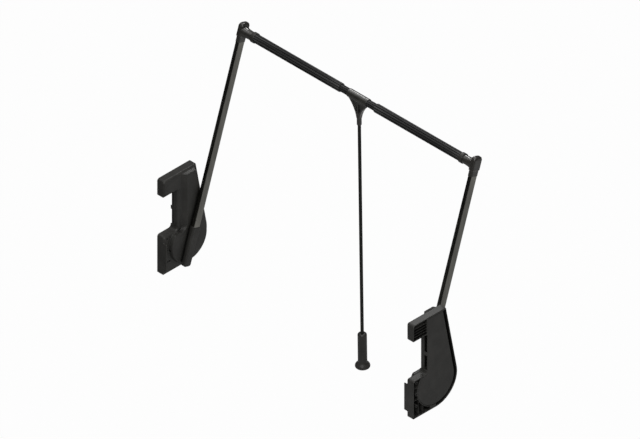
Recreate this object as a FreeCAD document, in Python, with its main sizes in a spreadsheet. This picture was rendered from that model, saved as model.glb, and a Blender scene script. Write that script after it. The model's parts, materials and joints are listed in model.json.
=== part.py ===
import FreeCAD, Part
import math
import os

import Sketcher
from FreeCAD import Placement, Rotation, Vector

# A pull down closet rod. Two moulded wall housings each carry an arm that a gas strut helps,
# and a telescopic rod joins the arms. A handle hangs from the middle of the rod.
#
# Frame, in millimetres: the origin is where the pivot axis meets the left wall face.
# +X runs along the rod to the right wall, +Y to the back of the closet, +Z up.
# The left side is modelled and the right side is its mirror image.

doc = FreeCAD.newDocument("pull_down_closet_rod")
sheet = doc.addObject("Spreadsheet::Sheet", "dims")

# ---------------------------------------------------------------- driving sizes

DRIVING = {
    "closed_span": (943, "wall face to wall face as drawn"),
    # housing outline, measured from the pivot
    "block_front": (84, "front face ahead of the pivot"),
    "belly_radius": (77.5, "round underside about the pivot"),
    "lower_top": (42, "top of the lower block"),
    "upper_bottom": (168, "underside of the upper block"),
    "housing_top": (219, "top face"),
    "notch_back": (34, "back wall of the notch ahead of the pivot"),
    "back_lean": (11, "lean of the back edge, degrees"),
    "corner_round": (8, "front corners of the blocks"),
    "notch_round": (9, "inner corner under the notch"),
    "rim_depth": (26, "depth of the housing off the wall"),
    "rim_chamfer": (4, "broken edge of the inner face"),
    "wall": (2.5, "moulded wall"),
    # raised casing over the strut gear
    "casing_face": (36.6, "face of the casing off the wall"),
    "casing_front": (21, "front of the casing at its foot"),
    "casing_radius": (68, "drum of the casing at its foot"),
    "casing_top": (215, "top of the casing at its foot"),
    "face_front": (8, "front of the casing at its face"),
    "face_radius": (63, "drum of the casing at its face"),
    "face_top": (212, "top of the casing at its face"),
    "casing_neck": (12, "hollow corner at the foot of the casing"),
    "face_neck": (20, "hollow corner at the face of the casing"),
    "neck_drop": (4, "neck of the casing below the lower block top"),
    # chamber for the strut gear
    "chamber_radius": (59, "drum of the chamber"),
    "chamber_front": (4, "front of the strut shaft"),
    "chamber_top": (206, "top of the strut shaft"),
    "shelf_level": (92, "underside of the strut shelf"),
    "shelf_thick": (4, "strut shelf"),
    # back plate
    "plate_recess": (1.2, "plate below the wall face"),
    "plate_thick": (2.2, "back plate"),
    "plate_edge": (3, "notch wall to the plate"),
    "plate_radius": (66.5, "drum of the plate"),
    "plate_top": (214, "top edge of the plate"),
    "plate_gap": (0.3, "gap round the plate"),
    "tab_length": (6, "clip on the front edge of the plate"),
    "window_depth": (10, "opening in the notch wall beside the plate"),
    "groove_depth": (15, "open groove behind the plate"),
    # screw bosses, lip and ribs
    "screw_line": (71.5, "wall screws ahead of the pivot"),
    "screw_upper": (33, "upper wall screw above the pivot"),
    "screw_middle": (-4, "middle wall screw"),
    "screw_lower": (-41, "lower wall screw"),
    "screw_radius": (2.6, "wall screw hole"),
    "boss_radius": (4.4, "boss round a wall screw"),
    "cover_radius": (2.6, "blind hole for a cover screw"),
    "cover_depth": (9, "blind hole for a cover screw"),
    "cover_line": (64, "two front cover screws ahead of the pivot"),
    "cover_upper": (-6, "upper cover screw"),
    "cover_lower": (-41, "lower cover screw"),
    "cover_back_line": (28, "cover screw under the casing ahead of the pivot"),
    "cover_foot": (-58.5, "cover screw under the casing"),
    "lip_thick": (3.5, "front lip"),
    "lip_rise": (9, "front lip proud of the inner face"),
    "lip_top": (23, "top of the front lip"),
    "lip_bottom": (-62, "foot of the front lip"),
    "rib_thick": (1.5, "stiffening rib"),
    "rib_inset": (2, "rib below the wall face"),
    "rib_pitch": (8.4, "ribs in the upper block"),
    "rib_count": (4, "ribs in the upper block"),
    "near_rib": (46, "lower rib ahead of the pivot"),
    "far_rib": (62, "lower rib ahead of the pivot, the farther one"),
    "pocket_end": (22, "end of the lower pocket ahead of the pivot"),
    # spindle, bush and crank
    "spindle_radius": (7, "spindle in its bush"),
    "hex_radius": (6.9, "hexagon corners of the spindle"),
    "bush_radius": (10, "outside of the spindle bush"),
    "bush_boss": (14, "boss round the spindle bush"),
    "run_gap": (0.06, "running clearance"),
    "fit_gap": (0.02, "fitted clearance"),
    "face_gap": (0.4, "gap between faces that move"),
    "crank_reach": (24, "crank pin from the pivot"),
    "crank_hub": (13, "hub of the crank"),
    "crank_tip": (8, "end of the crank"),
    "crank_back": (17, "crank off the wall"),
    "crank_thick": (7, "crank"),
    "crank_drop": (30, "crank pin behind straight down at rest, degrees"),
    "pin_radius": (4, "crank pin"),
    # yoke and gas strut
    "yoke_back": (6, "yoke off the wall"),
    "yoke_thick": (6, "yoke"),
    "yoke_height": (20, "yoke"),
    "yoke_margin": (4.5, "metal at the end of the yoke slot"),
    "slot_play": (2, "play above and below the crank pin"),
    "strut_y": (8, "gas strut axis behind the pivot"),
    "strut_x": (13, "gas strut axis off the wall"),
    "rod_radius": (3, "piston rod"),
    "lug_half": (4.5, "half width of the lug on the yoke"),
    "lug_rise": (8, "lug above the yoke"),
    "cylinder_radius": (8, "gas cylinder"),
    "cylinder_wall": (1.4, "gas cylinder"),
    "nose_length": (9, "rod guide in the foot of the gas cylinder"),
    "piston_length": (8, "piston"),
    # arm
    "lean": (18, "lean of the arm at rest, degrees"),
    "arm_reach": (606, "pivot to rod axis"),
    "arm_plane": (44.2, "middle of the arm off the wall"),
    "arm_width": (23, "arm tube"),
    "arm_thick": (12.6, "arm tube"),
    "arm_round": (2.5, "corners of the arm tube"),
    "arm_wall": (1.2, "arm tube"),
    "lever_thick": (14.4, "lever"),
    "lever_top": (45, "top of the lever above the pivot"),
    "lever_tail": (72, "foot of the lever below the pivot"),
    "lever_head": (29, "width of the lever at its top"),
    "lever_foot": (25, "width of the lever at its foot"),
    "lever_round": (7, "corners at the foot of the lever"),
    "lever_chamfer": (3, "broken edge of the lever"),
    "socket_depth": (32, "arm tube inside the lever"),
    # elbow
    "elbow_drop": (31, "foot of the elbow below the rod axis"),
    "head_drop": (14, "foot of the elbow head below the rod axis"),
    "head_rise": (18, "top of the elbow head above the rod axis"),
    "head_width": (30.4, "elbow head"),
    "head_thick": (16.5, "elbow head"),
    "neck_width": (26.4, "socket of the elbow"),
    "neck_thick": (14.6, "socket of the elbow"),
    "head_round": (4.5, "corners of the elbow"),
    "elbow_socket": (27, "arm tube inside the elbow"),
    "cap_rise": (7, "domed cap of the elbow"),
    "cap_slope": (3, "sloping edge of the cap"),
    "cap_lip": (0.5, "cap inside the edge of the head"),
    "spigot_boss": (13.9, "boss at the foot of the spigot"),
    "spigot_radius": (12.2, "spigot of the elbow"),
    "boss_end": (56, "end of the boss off the wall"),
    "spigot_end": (82.7, "end of the spigot off the wall"),
    "stub_length": (25, "spigot inside the outer tube"),
    # rod
    "tube_radius": (12.6, "outer tube"),
    "tube_gap": (64.5, "end of an outer tube from the middle"),
    "collar_radius": (14.5, "collar"),
    "collar_length": (12, "collar"),
    "flute_count": (12, "grooves round a tube"),
    "flute_radius": (1.2, "groove"),
    "flute_depth": (0.55, "groove in an outer tube"),
    "fine_flute_depth": (0.35, "groove in the inner tube"),
    "inner_radius": (10.1, "inner tube"),
    "inner_bore": (9, "inner tube, inside"),
    "inner_half": (230, "half length of the inner tube"),
    "slide_gap": (0.1, "sliding clearance on the inner tube"),
    # handle
    "sleeve_radius": (11.7, "sleeve of the bracket"),
    "sleeve_half": (35, "half length of the sleeve"),
    "web_thick": (11, "web of the bracket"),
    "web_tip": (5.6, "half width of the web at its tip"),
    "web_drop": (64, "tip of the web below the rod axis"),
    "web_curve": (88, "hollow sides of the web"),
    "web_edge": (5, "edge of the web"),
    "web_skin": (3, "web between the recesses"),
    "recess_width": (18.2, "top of a recess"),
    "web_rib": (4, "middle rib of the web"),
    "recess_top": (17, "top of the recesses below the rod axis"),
    "recess_foot": (50, "foot of the recesses below the rod axis"),
    "socket_radius": (6.6, "socket of the bracket"),
    "socket_top": (56, "top of the socket below the rod axis"),
    "bracket_drop": (85, "foot of the bracket below the rod axis"),
    "pull_radius": (4.5, "pull rod"),
    "pull_socket": (20, "pull rod inside the bracket"),
    "grip_top": (756.5, "top of the grip below the rod axis"),
    "grip_foot": (863.5, "foot of the grip below the rod axis"),
    "grip_radius": (12.5, "grip"),
    "grip_shoulder": (8, "height of the sloping shoulder of the grip"),
    "shoulder_slope": (0.8, "run of the shoulder over its height"),
    "grip_flange": (20.5, "flange at the foot of the grip"),
    "flange_thick": (7.5, "flange at the foot of the grip, with its slope"),
    "flange_edge": (4, "rim of the flange, below its slope"),
    "grip_bore": (70, "pull rod inside the grip"),
    "grip_flute_depth": (0.5, "groove in the grip"),
    "hang_tilt": (0.85, "lean of the hanging handle, degrees"),
}


class Size:
    """A worth in millimetres or degrees, with the sheet expression that gives it."""

    def __init__(self, worth, text):
        self.worth = worth
        self.text = text

    def __add__(self, other):
        other = as_size(other)
        return Size(self.worth + other.worth, "(%s + %s)" % (self.text, other.text))

    def __sub__(self, other):
        other = as_size(other)
        return Size(self.worth - other.worth, "(%s - %s)" % (self.text, other.text))

    def __mul__(self, other):
        other = as_size(other)
        return Size(self.worth * other.worth, "%s * %s" % (self.text, other.text))

    def __truediv__(self, other):
        other = as_size(other)
        return Size(self.worth / other.worth, "%s / (%s)" % (self.text, other.text))

    def __neg__(self):
        return Size(-self.worth, "(0 - %s)" % self.text)

    def __radd__(self, other):
        return as_size(other) + self

    def __rsub__(self, other):
        return as_size(other) - self

    def __rmul__(self, other):
        return as_size(other) * self


def as_size(value):
    """Wrap a bare number as a size."""
    return value if isinstance(value, Size) else Size(value, repr(value))


def sine(angle):
    """Sine of an angle in degrees."""
    return Size(math.sin(math.radians(angle.worth)), "sin(%s)" % angle.text)


def cosine(angle):
    """Cosine of an angle in degrees."""
    return Size(math.cos(math.radians(angle.worth)), "cos(%s)" % angle.text)


def root(square):
    """Square root of a size."""
    return Size(math.sqrt(square.worth), "sqrt(%s)" % square.text)


def chord(radius, level):
    """Half width of a circle of this radius at a level above or below its centre."""
    return root(radius * radius - level * level)


class Sizes:
    """The driving sizes by name."""


D = Sizes()
for row, (alias, (worth, note)) in enumerate(DRIVING.items(), start=1):
    sheet.set("A%d" % row, alias)
    sheet.set("B%d" % row, str(worth))
    sheet.setAlias("B%d" % row, alias)
    sheet.set("C%d" % row, note)
    setattr(D, alias, Size(worth, "dims.%s" % alias))
doc.recompute()

ZERO = as_size(0)
HALF_TURN = as_size(180)

# ---------------------------------------------------------------- helpers


def new_body(label):
    """A PartDesign body whose label names its file."""
    body = doc.addObject("PartDesign::Body", label)
    body.Label = label
    return body


def plane_of(body, role):
    """One of the body's own origin planes."""
    return [plane for plane in body.Origin.OriginFeatures if plane.Role == role][0]


def new_sketch(body, name, role, offset=ZERO):
    """A sketch on an origin plane of the body, moved along the plane's normal."""
    sketch = body.newObject("Sketcher::SketchObject", name)
    sketch.AttachmentSupport = [(plane_of(body, role), "")]
    sketch.MapMode = "FlatFace"
    sketch.AttachmentOffset = Placement(Vector(0, 0, offset.worth), Rotation())
    if offset is not ZERO:
        sketch.setExpression("AttachmentOffset.Base.z", offset.text)
    return sketch


def pin_point(sketch, shape, end, point):
    """Hold one end or the centre of a shape at a point given by two sizes."""
    for kind, axis, size in (("DistanceX", -2, point[0]), ("DistanceY", -1, point[1])):
        if size is ZERO:
            sketch.addConstraint(Sketcher.Constraint("PointOnObject", shape, end, axis))
            continue
        rule = sketch.addConstraint(Sketcher.Constraint(kind, -1, 1, shape, end, size.worth))
        sketch.setExpression("Constraints[%d]" % rule, size.text)


def flat(point):
    """A pair of sizes as a vector in the sketch."""
    return Vector(point[0].worth, point[1].worth, 0)


def arc_between(start, finish, radius, turn):
    """A circular arc from start to finish, turning left (+1) or right (-1)."""
    middle = (start + finish) * 0.5
    run = finish - start
    side = Vector(-run.y, run.x, 0).normalize()
    reach = math.sqrt(max(radius ** 2 - (run.Length / 2) ** 2, 0))
    centre = middle + side * reach * turn
    first, last = (start, finish) if turn > 0 else (finish, start)
    angles = [math.atan2(p.y - centre.y, p.x - centre.x) for p in (first, last)]
    if angles[1] < angles[0]:
        angles[1] += 2 * math.pi
    return Part.ArcOfCircle(Part.Circle(centre, Vector(0, 0, 1), radius), angles[0], angles[1])


def large_arc(start, finish, radius):
    """The longer left-turning arc about the origin from start to finish."""
    angles = [math.atan2(p.y, p.x) for p in (start, finish)]
    if angles[1] < angles[0]:
        angles[1] += 2 * math.pi
    return Part.ArcOfCircle(Part.Circle(Vector(), Vector(0, 0, 1), radius), angles[0], angles[1])


def draw_loop(sketch, steps):
    """Draw a closed loop.

    Each step is (point, bend): the bend says how the loop leaves the point. None is a
    straight line, (radius, +1 or -1) an arc that turns left or right, and (radius, 2)
    an arc about the origin of the sketch that may pass half a turn.
    """
    ends = []
    for index, (point, bend) in enumerate(steps):
        following = steps[(index + 1) % len(steps)][0]
        start, finish = flat(point), flat(following)
        if bend is None:
            shape = sketch.addGeometry(Part.LineSegment(start, finish), False)
            ends.append((shape, 1, 2))
            continue
        radius, turn = bend
        if turn == 2:
            shape = sketch.addGeometry(large_arc(start, finish, radius.worth), False)
        else:
            shape = sketch.addGeometry(arc_between(start, finish, radius.worth, turn), False)
        ends.append((shape, 1, 2) if turn > 0 else (shape, 2, 1))
        rule = sketch.addConstraint(Sketcher.Constraint("Radius", shape, radius.worth))
        sketch.setExpression("Constraints[%d]" % rule, radius.text)
    for index, (point, bend) in enumerate(steps):
        shape, first, last = ends[index]
        pin_point(sketch, shape, first, point)
        other, other_first, other_last = ends[(index + 1) % len(steps)]
        sketch.addConstraint(Sketcher.Constraint("Coincident", shape, last, other, other_first))


def draw_circle(sketch, centre, radius):
    """Draw a circle."""
    shape = sketch.addGeometry(Part.Circle(flat(centre), Vector(0, 0, 1), radius.worth), False)
    pin_point(sketch, shape, 3, centre)
    rule = sketch.addConstraint(Sketcher.Constraint("Radius", shape, radius.worth))
    sketch.setExpression("Constraints[%d]" % rule, radius.text)


def box_steps(low, high):
    """A rectangle from its low corner to its high corner."""
    corners = [(low[0], low[1]), (high[0], low[1]), (high[0], high[1]), (low[0], high[1])]
    return [(corner, None) for corner in corners]


def round_box_steps(centre, width, height, radius):
    """A rectangle with round corners about a centre."""
    left, right = centre[0] - width / 2, centre[0] + width / 2
    low, high = centre[1] - height / 2, centre[1] + height / 2
    bend = (radius, 1)
    return [
        ((left + radius, low), None),
        ((right - radius, low), bend),
        ((right, low + radius), None),
        ((right, high - radius), bend),
        ((right - radius, high), None),
        ((left + radius, high), bend),
        ((left, high - radius), None),
        ((left, low + radius), bend),
    ]


def hexagon_steps(radius, phase):
    """A hexagon about the origin, turned by a phase in degrees."""
    angles = [phase + 60 * corner for corner in range(6)]
    return [((radius * cosine(angle), radius * sine(angle)), None) for angle in angles]


def pad(body, sketch, length, name, reverse=False):
    """Raise a sketch by a length."""
    feature = body.newObject("PartDesign::Pad", name)
    feature.Profile = sketch
    feature.Reversed = reverse
    feature.Length = length.worth
    feature.setExpression("Length", length.text)
    doc.recompute()
    return feature


def pocket(body, sketch, depth, name, reverse=False):
    """Sink a sketch by a depth, and make sure that it cut something."""
    before = body.Shape.Volume
    feature = body.newObject("PartDesign::Pocket", name)
    feature.Profile = sketch
    feature.Reversed = reverse
    feature.Length = depth.worth
    feature.setExpression("Length", depth.text)
    doc.recompute()
    if body.Shape.Volume >= before:
        raise RuntimeError("%s cut nothing" % name)
    return feature


def chamfer(body, base, names, size, name):
    """Break edges, or all edges of a face."""
    feature = body.newObject("PartDesign::Chamfer", name)
    feature.Base = (base, names)
    feature.Size = size.worth
    feature.setExpression("Size", size.text)
    doc.recompute()
    return feature


def turn_pattern(body, feature, count, name, role):
    """Repeat a feature in a full turn about an axis of the body."""
    axis = [line for line in body.Origin.OriginFeatures if line.Role == role][0]
    pattern = body.newObject("PartDesign::PolarPattern", name)
    pattern.Originals = [feature]
    pattern.Axis = (axis, [""])
    pattern.Angle = 360
    pattern.setExpression("Occurrences", count.text)
    body.Tip = pattern
    doc.recompute()
    return pattern


def revolve(body, sketch, name, role):
    """Turn a sketch fully about an axis of the body."""
    axis = [line for line in body.Origin.OriginFeatures if line.Role == role][0]
    feature = body.newObject("PartDesign::Revolution", name)
    feature.Profile = sketch
    feature.ReferenceAxis = (axis, [""])
    feature.Angle = 360
    doc.recompute()
    return feature


def face_at(shape, axis, level):
    """Name of the largest flat face that lies at a level of an axis."""
    best, best_area = None, 0
    for index, face in enumerate(shape.Faces, start=1):
        box = face.BoundBox
        low = getattr(box, axis + "Min")
        high = getattr(box, axis + "Max")
        if abs(low - level) < 0.001 and abs(high - level) < 0.001 and face.Area > best_area:
            best, best_area = "Face%d" % index, face.Area
    return best


def lean_back(body):
    """Lean a piece that is drawn upright back by the lean of the arm."""
    body.Placement = Placement(Vector(), Rotation(Vector(-1, 0, 0), D.lean.worth))
    body.setExpression("Placement.Rotation.Angle", D.lean.text)


def casing_steps(front, neck, level, radius, top):
    """A drum about the pivot with a shaft that rises from its back part."""
    slope_y, slope_z = cosine(D.back_lean), sine(D.back_lean)
    return [
        ((-front, top), None),
        ((-front, level + neck), (neck, -1)),
        ((-front - neck, level), None),
        ((-chord(radius, level), level), (radius, 2)),
        ((radius * slope_y, radius * slope_z), None),
        (((radius - top * slope_z) / slope_y, top), None),
    ]


# ---------------------------------------------------------------- left housing


def build_housing():
    """The moulded housing: blocks, notch, raised casing, chamber, pockets and bosses."""
    body = new_body("left_housing")
    slope_y, slope_z = cosine(D.back_lean), sine(D.back_lean)
    front, belly, corner = -D.block_front, D.belly_radius, D.corner_round
    notch = -D.notch_back

    outline = new_sketch(body, "housing_outline", "YZ_Plane")
    draw_loop(outline, [
        ((front, -belly), None),
        ((ZERO, -belly), (belly, 2)),
        ((belly * slope_y, belly * slope_z), None),
        (((belly - D.housing_top * slope_z) / slope_y, D.housing_top), None),
        ((front + corner, D.housing_top), (corner, 1)),
        ((front, D.housing_top - corner), None),
        ((front, D.upper_bottom), None),
        ((notch, D.upper_bottom), None),
        ((notch, D.lower_top + D.notch_round), (D.notch_round, -1)),
        ((notch - D.notch_round, D.lower_top), None),
        ((front + corner, D.lower_top), (corner, 1)),
        ((front, D.lower_top - corner), None),
    ])
    rim = pad(body, outline, D.rim_depth, "housing_rim")
    inner = face_at(body.Shape, "X", D.rim_depth.worth)
    chamfer(body, rim, [inner], D.rim_chamfer, "housing_edge")

    foot_level = D.lower_top - D.neck_drop
    foot = new_sketch(body, "casing_foot", "YZ_Plane", D.rim_depth - D.wall)
    draw_loop(foot, casing_steps(D.casing_front, D.casing_neck, foot_level,
                                 D.casing_radius, D.casing_top))
    face = new_sketch(body, "casing_face_outline", "YZ_Plane", D.casing_face)
    draw_loop(face, casing_steps(D.face_front, D.face_neck, foot_level,
                                 D.face_radius, D.face_top))
    doc.recompute()
    casing = body.newObject("PartDesign::AdditiveLoft", "casing")
    casing.Profile = foot
    casing.Sections = [face]
    casing.Ruled = True
    doc.recompute()

    lip = new_sketch(body, "lip_outline", "YZ_Plane", D.rim_depth - D.rim_chamfer)
    draw_loop(lip, box_steps((front, D.lip_bottom), (front + D.lip_thick, D.lip_top)))
    pad(body, lip, D.lip_rise + D.rim_chamfer, "front_lip")

    # the chamber is open to the wall side and is closed by the back plate
    recess = new_sketch(body, "plate_recess_outline", "YZ_Plane")
    draw_loop(recess, casing_steps(D.notch_back - D.plate_edge + D.plate_gap,
                                   D.notch_round + D.plate_edge - D.plate_gap,
                                   D.lower_top - D.plate_edge + D.plate_gap,
                                   D.plate_radius + D.plate_gap,
                                   D.plate_top + D.plate_gap))
    pocket(body, recess, D.plate_recess + D.plate_thick, "plate_seat", reverse=True)
    tab_low, tab_high = tab_levels()
    tab_seat = new_sketch(body, "tab_seat_outline", "YZ_Plane")
    draw_loop(tab_seat, box_steps((notch, tab_low - D.plate_gap),
                                  (notch + D.plate_edge * 2, tab_high + D.plate_gap)))
    pocket(body, tab_seat, D.plate_recess, "tab_seat", reverse=True)
    chamber = new_sketch(body, "chamber_outline", "YZ_Plane")
    draw_loop(chamber, casing_steps(D.chamber_front, D.face_neck, foot_level - D.neck_drop,
                                    D.chamber_radius, D.chamber_top))
    chamber_depth = D.casing_face - D.wall
    pocket(body, chamber, chamber_depth, "chamber", reverse=True)

    # behind the notch the rim is hollow too, and its wall is open beside the plate, but for
    # a tooth under the clip
    hollow_foot = D.lower_top + D.notch_round + D.wall
    hollow = new_sketch(body, "front_chamber_outline", "YZ_Plane")
    draw_loop(hollow, box_steps((notch + D.wall, hollow_foot),
                                (-D.chamber_front + D.wall, D.upper_bottom)))
    pocket(body, hollow, D.rim_depth - D.wall, "front_chamber", reverse=True)
    window = new_sketch(body, "window_outline", "YZ_Plane")
    window_front, window_back = notch - D.wall, notch + D.wall * 2
    draw_loop(window, box_steps((window_front, hollow_foot),
                                (window_back, tab_low - D.plate_edge)))
    draw_loop(window, box_steps((window_front, tab_high + D.plate_edge),
                                (window_back, D.upper_bottom - D.wall)))
    pocket(body, window, D.window_depth, "windows", reverse=True)

    # open groove between the plate and the back wall
    groove = new_sketch(body, "groove_outline", "YZ_Plane")
    outer, groove_top = belly - D.wall, D.plate_top + D.plate_gap
    draw_loop(groove, [
        ((ZERO, -outer), (outer, 1)),
        ((outer * slope_y, outer * slope_z), None),
        (((outer - groove_top * slope_z) / slope_y, groove_top), None),
        (((D.plate_radius - groove_top * slope_z) / slope_y, groove_top), None),
        ((D.plate_radius * slope_y, D.plate_radius * slope_z), (D.plate_radius, -1)),
        ((ZERO, -D.plate_radius), None),
    ])
    pocket(body, groove, D.groove_depth, "plate_groove", reverse=True)

    # shelf that the gas cylinder stands on, with the hole for its rod
    shelf = new_sketch(body, "shelf_outline", "YZ_Plane", D.plate_recess + D.plate_thick)
    shelf_back = (D.chamber_radius - D.shelf_level * slope_z) / slope_y + D.wall
    draw_loop(shelf, box_steps((-D.chamber_front - D.wall, D.shelf_level),
                               (shelf_back, D.shelf_level + D.shelf_thick)))
    shelf_length = chamber_depth - D.plate_recess - D.plate_thick + D.wall / 2
    pad(body, shelf, shelf_length, "strut_shelf")
    rod_hole = new_sketch(body, "rod_hole", "XY_Plane", D.shelf_level + D.shelf_thick)
    draw_circle(rod_hole, (D.strut_x, D.strut_y), D.rod_radius + D.face_gap)
    pocket(body, rod_hole, D.shelf_thick, "shelf_hole")

    # boss and bore of the spindle bush
    boss = new_sketch(body, "bush_boss_outline", "YZ_Plane", bush_start())
    draw_circle(boss, (ZERO, ZERO), D.bush_boss)
    pad(body, boss, D.casing_face - D.wall / 2 - bush_start(), "bush_boss")
    bore = new_sketch(body, "bush_bore_outline", "YZ_Plane", D.casing_face)
    draw_circle(bore, (ZERO, ZERO), D.bush_radius + D.fit_gap)
    pocket(body, bore, D.casing_face - bush_start(), "bush_bore")

    # open pockets of the two blocks, seen from the wall side
    inside = corner - D.wall
    pocket_depth = D.rim_depth - D.wall
    pocket_front = front + D.wall
    upper = new_sketch(body, "upper_pocket_outline", "YZ_Plane")
    upper_low, upper_high = D.upper_bottom + D.wall, D.housing_top - D.wall
    upper_back = -(D.notch_back - D.plate_edge + D.plate_gap) - D.wall
    draw_loop(upper, [
        ((pocket_front, upper_low), None),
        ((upper_back, upper_low), None),
        ((upper_back, upper_high), None),
        ((pocket_front + inside, upper_high), (inside, 1)),
        ((pocket_front, upper_high - inside), None),
    ])
    pocket(body, upper, pocket_depth - D.wall, "upper_pocket", reverse=True)

    ring = D.plate_radius + D.plate_gap + D.wall
    lower_high, lower_low = D.lower_top - D.wall, -belly + D.wall
    lower = new_sketch(body, "lower_pocket_outline", "YZ_Plane")
    draw_loop(lower, [
        ((pocket_front, lower_high - inside), None),
        ((pocket_front, lower_low), None),
        ((-D.pocket_end, lower_low), None),
        ((-D.pocket_end, -chord(ring, D.pocket_end)), (ring, -1)),
        ((-chord(ring, lower_high), lower_high), None),
        ((pocket_front + inside, lower_high), (inside, 1)),
    ])
    pocket(body, lower, pocket_depth - D.wall, "lower_pocket", reverse=True)

    # ribs: a row in the upper block, and short ones round the lower pocket
    rib_length = pocket_depth - D.wall - D.rib_inset + D.wall / 2
    rib = new_sketch(body, "upper_rib_outline", "YZ_Plane", D.rib_inset)
    rib_low = upper_low + D.rib_pitch - D.rib_thick / 2
    draw_loop(rib, box_steps((pocket_front - D.wall / 2, rib_low),
                             (upper_back + D.wall / 2, rib_low + D.rib_thick)))
    first_rib = pad(body, rib, rib_length, "upper_rib")
    row = body.newObject("PartDesign::LinearPattern", "upper_ribs")
    row.Originals = [first_rib]
    row.Direction = (rib, ["V_Axis"])
    row_length = D.rib_pitch * (D.rib_count - 1)
    row.Length = row_length.worth
    row.setExpression("Length", row_length.text)
    row.Occurrences = int(D.rib_count.worth)
    row.setExpression("Occurrences", D.rib_count.text)
    body.Tip = row
    doc.recompute()
    web = new_sketch(body, "lower_rib_outline", "YZ_Plane", D.rib_inset)
    hidden = ring - D.wall / 2
    for level in ((D.screw_upper + D.screw_middle) / 2, (D.screw_middle + D.screw_lower) / 2):
        draw_loop(web, box_steps((pocket_front - D.wall / 2, level - D.rib_thick / 2),
                                 (-chord(hidden, level), level + D.rib_thick / 2)))
    for station in (-D.near_rib, -D.far_rib):
        draw_loop(web, box_steps((station - D.rib_thick / 2, -belly + D.wall / 2),
                                 (station + D.rib_thick / 2, -chord(hidden, station))))
    pad(body, web, rib_length, "lower_ribs")

    # bosses and holes for the wall screws, and blind holes for the cover screws
    bosses = new_sketch(body, "screw_boss_outline", "YZ_Plane")
    holes = new_sketch(body, "screw_hole_outline", "YZ_Plane")
    for level in (D.screw_upper, D.screw_middle, D.screw_lower):
        draw_circle(bosses, (-D.screw_line, level), D.boss_radius)
        draw_circle(holes, (-D.screw_line, level), D.screw_radius)
    pad(body, bosses, pocket_depth, "screw_bosses")
    pocket(body, holes, D.rim_depth, "screw_holes", reverse=True)
    blind = new_sketch(body, "cover_screw_outline", "YZ_Plane", D.rim_depth)
    for line, level in ((D.cover_line, D.cover_upper), (D.cover_line, D.cover_lower),
                        (D.cover_back_line, D.cover_foot)):
        draw_circle(blind, (-line, level), D.cover_radius)
    pocket(body, blind, D.cover_depth, "cover_screw_holes")
    return body


def tab_levels():
    """Foot and top of the clip of the back plate, at the middle of the notch."""
    middle = (D.lower_top + D.upper_bottom) / 2
    return middle - D.tab_length / 2, middle + D.tab_length / 2


def bush_start():
    """Inner end of the spindle bush off the wall."""
    return D.crank_back + D.crank_thick + D.face_gap


def build_back_plate():
    """The flat plate that closes the chamber on the wall side, with one clip."""
    body = new_body("left_back_plate")
    outline = new_sketch(body, "plate_outline", "YZ_Plane", D.plate_recess)
    draw_loop(outline, casing_steps(D.notch_back - D.plate_edge,
                                    D.notch_round + D.plate_edge,
                                    D.lower_top - D.plate_edge,
                                    D.plate_radius, D.plate_top))
    pad(body, outline, D.plate_thick, "plate")
    low, high = tab_levels()
    tab = new_sketch(body, "tab_outline", "YZ_Plane")
    draw_loop(tab, box_steps((-D.notch_back + D.plate_gap, low),
                             (-D.notch_back + D.plate_edge * 2, high)))
    pad(body, tab, D.plate_recess, "plate_tab")
    return body


def build_spindle_bush():
    """The plain bush that the spindle turns in."""
    body = new_body("left_spindle_bush")
    ends = new_sketch(body, "bush_outline", "YZ_Plane", bush_start())
    draw_circle(ends, (ZERO, ZERO), D.bush_radius)
    draw_circle(ends, (ZERO, ZERO), D.spindle_radius + D.run_gap)
    pad(body, ends, D.casing_face - bush_start(), "bush")
    return body


# ---------------------------------------------------------------- crank and gas strut


def lever_back():
    """Face of the lever that looks at the casing."""
    return D.arm_plane - D.lever_thick / 2


def build_spindle():
    """The hexagon spindle with a round bearing in the middle."""
    body = new_body("left_spindle")
    bar = new_sketch(body, "spindle_hexagon", "YZ_Plane", D.crank_back)
    draw_loop(bar, hexagon_steps(D.hex_radius, ZERO))
    inside_lever = D.lever_thick - D.wall
    pad(body, bar, lever_back() + inside_lever - D.crank_back, "spindle_bar")
    journal = new_sketch(body, "spindle_journal", "YZ_Plane", D.crank_back + D.crank_thick)
    draw_circle(journal, (ZERO, ZERO), D.spindle_radius)
    pad(body, journal, lever_back() - D.crank_back - D.crank_thick, "journal")
    lean_back(body)
    return body


def drop_crank(body):
    """Turn a piece that is drawn with its crank pin upright to where the pin rests."""
    turn = D.crank_drop + HALF_TURN
    body.Placement = Placement(Vector(), Rotation(Vector(1, 0, 0), turn.worth))
    body.setExpression("Placement.Rotation.Angle", turn.text)


def build_crank():
    """The crank inside the drum, keyed to the spindle."""
    body = new_body("left_crank")
    slant = (D.crank_hub - D.crank_tip) / D.crank_reach
    square = root(1 - slant * slant)
    outline = new_sketch(body, "crank_outline", "YZ_Plane", D.crank_back)
    reach = D.crank_reach
    draw_loop(outline, [
        ((-D.crank_hub * square, D.crank_hub * slant), (D.crank_hub, 2)),
        ((D.crank_hub * square, D.crank_hub * slant), None),
        ((D.crank_tip * square, reach + D.crank_tip * slant), (D.crank_tip, 1)),
        ((-D.crank_tip * square, reach + D.crank_tip * slant), None),
    ])
    pad(body, outline, D.crank_thick, "crank")
    key = new_sketch(body, "crank_key", "YZ_Plane", D.crank_back)
    phase = D.crank_drop - D.lean
    draw_loop(key, hexagon_steps(D.hex_radius + D.fit_gap, phase))
    draw_circle(key, (ZERO, reach), D.pin_radius + D.fit_gap)
    pocket(body, key, D.crank_thick, "crank_holes", reverse=True)
    drop_crank(body)
    return body


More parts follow.
